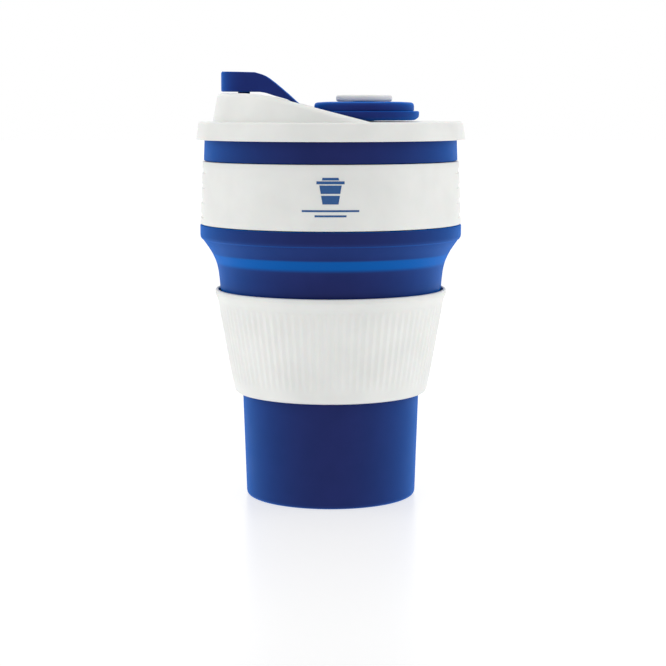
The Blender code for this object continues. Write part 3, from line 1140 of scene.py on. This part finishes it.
@dataclass
class HeatSleeve:
    """The white sleeve, ribbed all round between a smooth lip and the hem."""

    ribs: int = 90
    sides_per_rib: int = 8
    rib_rings: int = 24
    rib_height: float = 0.24
    wall: float = 1.2
    lip: Point = (39.05, 68.9)
    neck: Point = (37.95, 66.1)
    lip_drop: float = 0.4
    hem: float = 30.4
    heel: Point = (32.9, 37.6)
    rib_start: float = 39.0
    rib_end: float = 65.5
    fade: float = 1.2

    def shell(self) -> bpy.types.Object:
        """The smooth turned sleeve.

        Returns:
            The closed piece.
        """
        node = Extent.of("heat_sleeve")
        top = node.top - self.lip_drop
        lip_radius, lip_height = self.lip
        profile = rounded(
            [
                (lip_radius - self.wall, top - 0.3, 0.2),
                (lip_radius - self.wall + 0.3, top, 0.2),
                (lip_radius - 0.1, top - 0.05, 0.45),
                (lip_radius, lip_height, 0.4),
                (self.neck[0] + 0.15, self.neck[1] + 0.7, 0.7),
                (self.neck[0] - 0.08, self.neck[1] - 0.4),
            ]
        )
        slope = (self.neck[0] - self.heel[0]) / (self.neck[1] - self.heel[1])
        for step in range(self.rib_rings + 1):
            height = self.rib_end - (self.rib_end - self.rib_start) * step / self.rib_rings
            profile.append((self.heel[0] + slope * (height - self.heel[1]), height))
        profile += rounded(
            [
                (self.heel[0], self.heel[1], 0.6),
                (self.heel[0] - 0.5, node.bottom + 0.4, 0.7),
                (self.hem + 0.2, node.bottom, 0.3),
                (self.hem, node.bottom + 0.8, 0.3),
                (self.heel[0] - self.wall, self.heel[1] + 0.6, 0.8),
                (self.neck[0] - self.wall, self.neck[1], 0.5),
                (lip_radius - self.wall, lip_height - 0.3, 0.3),
                (lip_radius - self.wall, top - 0.5),
            ]
        )
        profile.append(profile[0])
        return turn("heat_sleeve_ribbed", profile, self.ribs * self.sides_per_rib)

    def raise_ribs(self, sleeve: bpy.types.Object) -> None:
        """Scales every rib's edge loops out, the crest most, with a shorter rise at both ends.

        Args:
            sleeve: The smooth sleeve.
        """
        side = math.tau / (self.ribs * self.sides_per_rib)
        slope = (self.neck[0] - self.heel[0]) / (self.neck[1] - self.heel[1])
        middle = (self.rib_start + self.rib_end) / 2
        hold(sleeve)
        bpy.ops.object.mode_set(mode="EDIT")
        for phase in range(self.sides_per_rib):
            lift = math.cos(math.tau * phase / self.sides_per_rib) / 2
            for inset in (0.0, self.fade):

                def on_rib(place: Vector) -> bool:
                    """Tells this side of a rib.

                    Args:
                        place: A vertex's place in millimetres.

                    Returns:
                        Whether it is on this side of a rib.
                    """
                    turned = round(math.atan2(place.y, place.x) / side) % self.sides_per_rib
                    if turned != phase or not self.rib_start + inset < place.z < self.rib_end - inset:
                        return False
                    skin = self.heel[0] + slope * (place.z - self.heel[1])
                    return math.hypot(place.x, place.y) > skin - self.wall / 2

                pick(sleeve, on_rib)
                share = 1 + lift * self.rib_height / 2 / (self.heel[0] + slope * (middle - self.heel[1]))
                bpy.ops.transform.resize(value=(share, share, 1), center_override=(0, 0, 0))
        bpy.ops.object.mode_set(mode="OBJECT")

    def build(self, finishes: Finishes) -> Objects:
        """Builds and dresses the sleeve.

        Args:
            finishes: The materials.

        Returns:
            The piece.
        """
        sleeve = self.shell()
        self.raise_ribs(sleeve)
        smooth(sleeve)
        dress(sleeve, finishes.white)
        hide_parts("heat_sleeve")
        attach(sleeve, Body.SLEEVE)
        return [sleeve]


@dataclass
class Lid:
    """The white lid: skirt, deck, raised spout with the strap's channel, and its two holes."""

    wall: float = 1.8
    spout_extra: float = 0.5
    draft: float = 0.8
    deck_round: float = 0.8
    skirt_inner: float = 43.1
    plug_radius: float = 39.6
    plug_wall: float = 1.5
    deck: float = 126.4
    spout_radius: float = 39.4
    spout_draft: float = 0.18
    spout_peak: float = 138.0
    spout_root: float = 30.0
    rim_round: float = 1.6
    slices: int = 5
    skirt_bottom: float = 120.45
    knee: Point = (-22.6, 135.5)
    plateau_end: Point = (-46.0, 136.0)
    incline_end: Point = (27.8, 122.6)
    knee_bend: float = 55.0
    anchor_x: float = 11.2
    pocket: float = 18.8
    stem_bore: float = 3.7
    hole_x: float = -29.0
    hole_radius: float = 6.0
    channel_floor: float = 128.6
    channel_half: float = 8.6
    channel_foot: float = -10.4
    channel_head: Point = (-15.4, 134.5)
    ceiling: float = 146.0

    def cap(self) -> bpy.types.Object:
        """The deck with its skirt and the inner ring that plugs the rim.

        Returns:
            The closed piece.
        """
        node = Extent.of("lid_shell")
        under = self.deck - self.wall
        profile = rounded(
            [
                (POLE_RADIUS, self.deck),
                (node.radius - self.draft, self.deck, self.deck_round),
                (node.radius, self.skirt_bottom, 0.3),
                (self.skirt_inner, self.skirt_bottom, 0.3),
                (self.skirt_inner, under, 0.5),
                (self.plug_radius, under, 0.5),
                (self.plug_radius, node.bottom, 0.5),
                (self.plug_radius - self.plug_wall, node.bottom, 0.5),
                (self.plug_radius - self.plug_wall, under, 0.5),
                (POLE_RADIUS, under),
            ]
        )
        return turn("lid_with_spout", profile)

    def bore(self, name: str, x: float, bottom: float, radius: float) -> bpy.types.Object:
        """A straight cutter that reaches above the lid.

        Args:
            name: The name of the piece.
            x: Where its axis stands.
            bottom: How deep it goes.
            radius: Its radius.

        Returns:
            The closed piece.
        """
        return cone(name, x, bottom, self.ceiling, radius, radius)

    def frustum(self, name: str, bottom: float, inset: float) -> bpy.types.Object:
        """A cone with the slope of the spout's side.

        Args:
            name: The name of the piece.
            bottom: The height of its lower face.
            inset: How far it lies within the spout's outer side.

        Returns:
            The closed piece.
        """
        radius, peak = self.spout_radius - inset, self.spout_peak
        low, high = (radius - self.spout_draft * (height - self.deck) for height in (bottom, peak))
        return cone(name, 0, bottom, peak, low, high)

    def shape_top(self, block: bpy.types.Object, drop: float) -> None:
        """Slices a block along the plateau, the long incline and the gentle bend between them.

        Args:
            block: The block to slice.
            drop: How far below the outer surface the slices lie.
        """
        (back, high), (middle, bend), (front, low) = self.plateau_end, self.knee, self.incline_end
        plateau = Vector((middle - back, bend - high)).normalized()
        incline = Vector((front - middle, low - bend)).normalized()
        flat, steep = math.atan2(plateau.y, plateau.x), math.atan2(incline.y, incline.x)
        knee = Vector((middle, bend - drop))
        bisector = (flat + steep) / 2 + math.pi / 2
        half = (flat - steep) / 2
        inwards = Vector((-math.cos(bisector), -math.sin(bisector)))
        centre = knee + inwards * (self.knee_bend / math.cos(half))
        for index in range(self.slices):
            angle = flat + (steep - flat) * index / (self.slices - 1) + math.pi / 2
            facing = Vector((math.cos(angle), math.sin(angle)))
            at = centre + facing * self.knee_bend
            slice_off(block, (at.x, at.y), (facing.x, facing.y))

    def channel(self, widen: float) -> bpy.types.Object:
        """The space of the strap's channel, or the plastic round it when widened by the wall.

        Args:
            widen: How far it reaches beyond the channel's own sides.

        Returns:
            The closed piece.
        """
        head_x, head_z = self.channel_head
        outline = [
            (head_x - widen, head_z + widen),
            (self.channel_foot - widen, self.channel_floor - widen),
            (self.anchor_x, self.channel_floor - widen),
            (self.anchor_x, self.ceiling),
            (head_x - widen, self.ceiling),
        ]
        return prism("channel", outline, 2 * (self.channel_half + widen))

    def shell(self) -> bpy.types.Object:
        """Joins the spout to the cap, hollows it and cuts the pocket, the channel and the holes.

        Returns:
            The closed piece.
        """
        lid = self.cap()
        block = self.frustum("spout", self.deck - self.spout_root, 0)
        self.shape_top(block, 0)
        round_rim(block, self.rim_round)
        slice_off(block, (0, self.deck - self.wall / 2), (0, -1))
        pocket_floor = self.deck - 3 * self.wall
        combine(block, self.bore("pocket", self.anchor_x, pocket_floor, self.pocket), Join.CUT)
        combine(block, self.channel(0), Join.CUT)
        combine(lid, block, Join.ADD)

        hollow = self.frustum("hollow", self.deck - 1.5 * self.wall, self.wall + self.spout_extra)
        self.shape_top(hollow, self.wall)
        around = self.pocket + self.wall
        combine(hollow, self.bore("around", self.anchor_x, pocket_floor, around), Join.CUT)
        slice_off(hollow, (self.channel_foot, self.deck), (1, 0))
        combine(hollow, self.channel(self.wall), Join.CUT)
        combine(lid, hollow, Join.CUT)
        for x, radius in ((self.hole_x, self.hole_radius), (self.anchor_x, self.stem_bore)):
            combine(lid, self.bore("hole", x, self.deck - 5 * self.wall, radius), Join.CUT)
        tidy_faces(lid)
        return lid

    def build(self, finishes: Finishes) -> Objects:
        """Builds and dresses the lid.

        Args:
            finishes: The materials.

        Returns:
            The piece.
        """
        lid = self.shell()
        smooth(lid, weighted=True)
        dress(lid, finishes.white)
        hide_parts("lid_shell")
        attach(lid, Body.LID)
        return [lid]


@dataclass
class StrapAnchor:
    """What holds the strap to the lid: silicone seat flange, white button with its stem, and washer."""

    bore: float = 3.7
    stem: float = 3.4
    cone: float = 1.6
    seat_top: float = 129.87
    seat_spread: float = 0.25
    washer_edge: float = 0.25
    gap: float = 0.3
    clearance: float = 0.02

    def build(self, finishes: Finishes) -> Objects:
        """Builds and dresses the three pieces.

        Args:
            finishes: The materials.

        Returns:
            The pieces.
        """
        flange, button, washer = self.flange(), self.button(), self.washer()
        dress(flange, finishes.stopper)
        for piece in (button, washer):
            dress(piece, finishes.white)
        for piece, node in ((flange, "seat_flange"), (button, "button"), (washer, "retaining_washer")):
            smooth(piece)
            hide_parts(node)
            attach(piece, Body.LID)
        return [flange, button, washer]

    def flange(self) -> bpy.types.Object:
        """The seat under the strap's disc, with a conical underside.

        Returns:
            The closed piece.
        """
        node = Extent.of("seat_flange")
        radius = node.radius + self.seat_spread
        profile = rounded(
            [
                (self.bore, node.bottom),
                (radius - self.cone, node.bottom, 0.6),
                (radius - 0.1, node.bottom + 1.0, 0.7),
                (radius, self.seat_top, 0.6),
                (self.bore, self.seat_top, 0.2),
                (self.bore, node.bottom + 0.1),
            ]
        )
        profile.append(profile[0])
        return turn("strap_seat_flange", profile, x=(node.left + node.right) / 2)

    def button(self) -> bpy.types.Object:
        """A flat cap with a full round edge and a hardly dished top, on its stem.

        Returns:
            The closed piece.
        """
        node = Extent.of("button")
        bottom = Extent.of("strap_disc").top + self.gap + self.clearance
        profile = rounded(
            [
                (POLE_RADIUS, node.top - 0.15),
                (node.radius * 0.62, node.top - 0.12, 1.0),
                (node.radius * 0.72, node.top, 0.8),
                (node.radius - 0.05, node.top, 0.85),
                (node.radius, (bottom + node.top) / 2, 0.2),
                (node.radius - 0.05, bottom, 0.85),
                (self.stem, bottom, 0.3),
                (self.stem, node.bottom, 0.4),
                (POLE_RADIUS, node.bottom),
            ],
            steps=6,
        )
        return turn("anchor_button", profile, x=(node.left + node.right) / 2)

    def washer(self) -> bpy.types.Object:
        """The push-on washer that keeps the stem in the deck.

        Returns:
            The closed piece.
        """
        node = Extent.of("retaining_washer")
        profile = rounded(
            [
                (self.bore, node.bottom, self.washer_edge),
                (node.radius, node.bottom, self.washer_edge),
                (node.radius, node.top, self.washer_edge),
                (self.bore, node.top, self.washer_edge),
                (self.bore, node.bottom + 2 * self.washer_edge),
            ]
        )
        profile.append(profile[0])
        return turn("stem_washer", profile, x=(node.left + node.right) / 2)


@dataclass
class StrapStopper:
    """The one-piece silicone stopper: round disc, flexible strap, head and plug."""

    half_width: float = 8.4
    end_steps: int = 32
    strap_half: float = 6.0
    head_under: float = 136.3
    hinge_x: float = -8.5
    hinge_height: float = 130.3
    bend: float = 2.1
    disc_bottom: float = 129.9
    bore: float = 3.7
    strap_top: float = 131.1
    plug_x: float = -29.0
    plug_bottom: float = 131.6
    plug_radii: Point = (4.6, 5.3)
    plug_waist: float = 2.0
    strap_end: float = 2.0
    corner: float = 0.8
    sliver: float = 0.25
    disc_top: float = 132.98
    disc_spread: float = 0.3
    crown: float = 0.06
    score_step: float = 0.4
    edge: float = 0.4

    def side(self) -> bpy.types.Object:
        """The side outline: a flat head that sweeps down into the thin strap and the disc.

        Returns:
            The outline, extruded wider than the stopper.
        """
        node = Extent.of("stopper_head")
        left, top = node.left, node.top - self.crown
        sweep = curve_through(
            [
                (left + 11.6, top - 0.3),
                (left + 14.7, top - 1.3),
                (left + 17.5, top - 3.2),
                (left + 20.3, top - 5.5),
                (left + 23.1, top - 7.9),
                (left + 25.8, self.strap_top + 1.5),
                (left + 28.0, self.strap_top + 0.25),
                (left + 30.5, self.strap_top),
            ]
        )
        under = curve_through(
            [
                (left + 29.6, self.disc_bottom + 0.05),
                (left + 27.4, self.disc_bottom - 0.3),
                (left + 25.9, self.disc_bottom + 0.5),
                (left + 23.3, self.disc_bottom + 3.2),
                (left + 21.4, self.head_under - 2.35),
                (left + 18.4, self.head_under - 1.5),
                (left + 15.2, self.head_under - 0.5),
                (left + 12.6, self.head_under - 0.05),
            ]
        )
        disc_x = self.strap_end
        corner = rounded([(left, self.head_under), (left, top, self.corner), sweep[0]])
        outline = [*corner[1:], *sweep[1:], (disc_x, self.strap_top), (disc_x, self.disc_bottom + 0.05)]
        outline += [*under, (left, self.head_under)]
        return prism("stopper_strap_and_disc", outline, 3 * self.half_width)

    def plan(self) -> bpy.types.Object:
        """The plan outline: round at the free end, straight, then drawn in to the strap's width.

        Returns:
            The outline, extruded higher than the stopper.
        """
        node = Extent.of("stopper_head")
        centre = node.left + self.half_width
        outline = []
        for step in range(self.end_steps + 1):
            angle = math.radians(90 + 180 * step / self.end_steps)
            outline.append((centre + self.half_width * math.cos(angle), self.half_width * math.sin(angle)))
        waist = curve_through([(-15.0, self.half_width), (-12.4, 7.4), (-10.0, 6.25), (-6.5, 6.0)])
        end = self.strap_end + 0.5
        outline += [(x, -y) for x, y in waist]
        outline += [(end, -self.strap_half), (end, self.strap_half)]
        outline += list(reversed(waist))
        return prism("plan", outline, 2 * node.top, level=True)

    def plug(self) -> bpy.types.Object:
        """The tapered plug that fills the drink hole, drawn in to a waist under the head.

        Returns:
            The closed piece.
        """
        tip, shoulder = self.plug_radii
        profile = rounded(
            [
                (POLE_RADIUS, self.plug_bottom),
                (tip, self.plug_bottom, 0.6),
                (shoulder, self.plug_bottom + 2.8, 0.5),
                (self.plug_waist, self.plug_bottom + 3.4, 0.3),
                (self.plug_waist, self.head_under + 1),
                (POLE_RADIUS, self.head_under + 1),
            ]
        )
        return turn("plug", profile, x=self.plug_x)

    def disc(self) -> bpy.types.Object:
        """The strap's round end, with a soft upper edge and the bore for the stem.

        Returns:
            The closed piece.
        """
        radius = Extent.of("strap_disc").radius + self.disc_spread
        profile = rounded(
            [
                (self.bore, self.disc_bottom),
                (radius, self.disc_bottom, 0.4),
                (radius, self.disc_top - 0.3, 1.3),
                (radius - 5, self.disc_top, 2.0),
                (self.bore, self.disc_top),
            ],
            steps=6,
        )
        profile.append(profile[0])
        seat = Extent.of("seat_flange")
        return turn("disc", profile, x=seat.left + seat.radius)

    def build(self, finishes: Finishes) -> Objects:
        """Builds the stopper, dresses it and adds edge loops across its strap.

        Args:
            finishes: The materials.

        Returns:
            The piece.
        """
        stopper = self.side()
        combine(stopper, self.plan(), Join.KEEP_COMMON)
        tidy_faces(stopper, merge=self.sliver)
        round_edges(stopper, self.edge)
        combine(stopper, self.plug(), Join.ADD)
        combine(stopper, self.disc(), Join.ADD)
        score(stopper, [self.hinge_x + self.score_step * step for step in range(-14, 8)])
        smooth(stopper, weighted=True)
        dress(stopper, finishes.stopper)
        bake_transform(stopper)
        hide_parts("stopper_head", "stopper_strap", "strap_disc")
        return [stopper]


# ---------------------------------------------------------------------------------------------------------
# Studio
# ---------------------------------------------------------------------------------------------------------


@dataclass
class Studio:
    """A seamless pale table in a light tent, with a soft light on either side and one overhead.

    The tent's levels go from the wall round the camera (place 0) to the wall behind the cup (place 1).
    """

    distance: float = 607.3
    side_step: float = 0.78
    eye: float = 132.2
    pitch: float = 7.25
    sensor: float = 36.0
    lens: float = 97.3
    table_radius: float = 6000.0
    table_colour: str = "9c9c9c"
    table_roughness: float = 0.3
    table_index: float = 1.32
    table_glow: float = 0.66
    tent: tuple[Point, ...] = ((0.0, 0.74), (0.3, 0.64), (0.5, 0.12), (0.78, 0.15), (0.97, 1.0))
    side_box: Point3 = (620.0, 60.0, 230.0)
    side_box_size: Point = (420.0, 560.0)
    side_light: float = 1.6
    top_box: Point3 = (0.0, 60.0, 760.0)
    top_box_size: Point = (500.0, 500.0)
    top_light: float = 2.3

    def camera(self) -> None:
        """Places the camera, level with the lid and looking slightly down."""
        data = bpy.data.cameras.new("camera")
        data.sensor_width = self.sensor
        data.lens = self.lens
        camera = bpy.data.objects.new("camera", data)
        camera.location = (self.side_step * MM, -self.distance * MM, self.eye * MM)
        camera.rotation_euler = (math.radians(90 - self.pitch), 0, 0)
        bpy.context.scene.collection.objects.link(camera)
        bpy.context.scene.camera = camera
        bpy.context.scene.view_settings.view_transform = "Standard"

    def table(self) -> None:
        """The pale table, lit from below so that it melts into the background, with a faint gloss."""
        deselect_all()
        bpy.ops.mesh.primitive_circle_add(vertices=64, radius=self.table_radius * MM, fill_type="NGON")
        table = bpy.context.object
        table.name = "studio_table"
        constants = {"Base Color": linear(self.table_colour), "Roughness": self.table_roughness}
        constants["IOR"] = self.table_index
        constants |= {"Emission Color": linear("ffffff"), "Emission Strength": self.table_glow}
        material, _ = new_material("light_table_acrylic", constants)
        table.data.materials.append(material)

    def walls(self) -> None:
        """The light tent: bright behind the cup, dark flags beside it, white again round the camera."""
        world = bpy.data.worlds.new("light_tent")
        bpy.context.scene.world = world
        world.use_nodes = True
        tree = world.node_tree
        tree.nodes.clear()
        direction = add_node(tree, "ShaderNodeTexCoord").outputs["Generated"]
        depth = add_node(tree, "ShaderNodeSeparateXYZ", {}, {"Vector": direction}).outputs["Y"]
        turned = add_node(tree, "ShaderNodeMapRange", {"From Min": -1.0, "From Max": 1.0}, {"Value": depth})
        walls = add_node(tree, "ShaderNodeValToRGB", {}, {"Fac": turned.outputs["Result"]})
        while len(walls.color_ramp.elements) < len(self.tent):
            walls.color_ramp.elements.new(0.5)
        for element, (place, level) in zip(walls.color_ramp.elements, self.tent):
            element.position = place
            element.color = (level, level, level, 1.0)
        inside = add_node(tree, "ShaderNodeBackground", {}, {"Color": walls.outputs["Color"]})
        seen = add_node(tree, "ShaderNodeBackground", {"Color": linear("ffffff"), "Strength": 1.0})
        eye = add_node(tree, "ShaderNodeLightPath").outputs["Is Camera Ray"]
        sources = {0: eye, 1: inside.outputs[0], 2: seen.outputs[0]}
        mix = add_node(tree, "ShaderNodeMixShader", {}, sources)
        add_node(tree, "ShaderNodeOutputWorld", {}, {"Surface": mix.outputs[0]})

    def softbox(self, name: str, place: Point3, size: Point, power: float) -> None:
        """One rectangular soft light that faces the cup.

        Args:
            name: The light's name.
            place: Where it stands.
            size: Its width and height.
            power: Its power in watts.
        """
        data = bpy.data.lights.new(name, "AREA")
        data.shape = "RECTANGLE"
        data.size, data.size_y = size[0] * MM, size[1] * MM
        data.energy = power
        light = bpy.data.objects.new(name, data)
        light.location = Vector(place) * MM
        target = Vector((0, 0, Extent.of("lid_shell").bottom / 2)) * MM
        light.rotation_euler = (target - light.location).to_track_quat("-Z", "Y").to_euler()
        light.visible_glossy = False
        bpy.context.scene.collection.objects.link(light)

    def build(self) -> None:
        """Sets up the table, the tent and the lights."""
        self.table()
        self.walls()
        across, depth, height = self.side_box
        for name, side in (("left_softbox", -1), ("right_softbox", 1)):
            self.softbox(name, (side * across, depth, height), self.side_box_size, self.side_light)
        self.softbox("top_softbox", self.top_box, self.top_box_size, self.top_light)


def main() -> None:
    """Builds the studio and every sub-assembly in order."""
    logging.basicConfig(level=logging.INFO, format="%(name)s: %(message)s")
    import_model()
    studio = Studio()
    studio.camera()
    studio.build()
    finishes = Finishes.make()
    for assembly in (SiliconeBody(), CollarBand(), HeatSleeve(), Lid(), StrapAnchor(), StrapStopper()):
        for piece in assembly.build(finishes):
            log.info("%s: %s, %d faces", type(assembly).__name__, piece.name, len(piece.data.polygons))


if __name__ == "__main__":
    main()
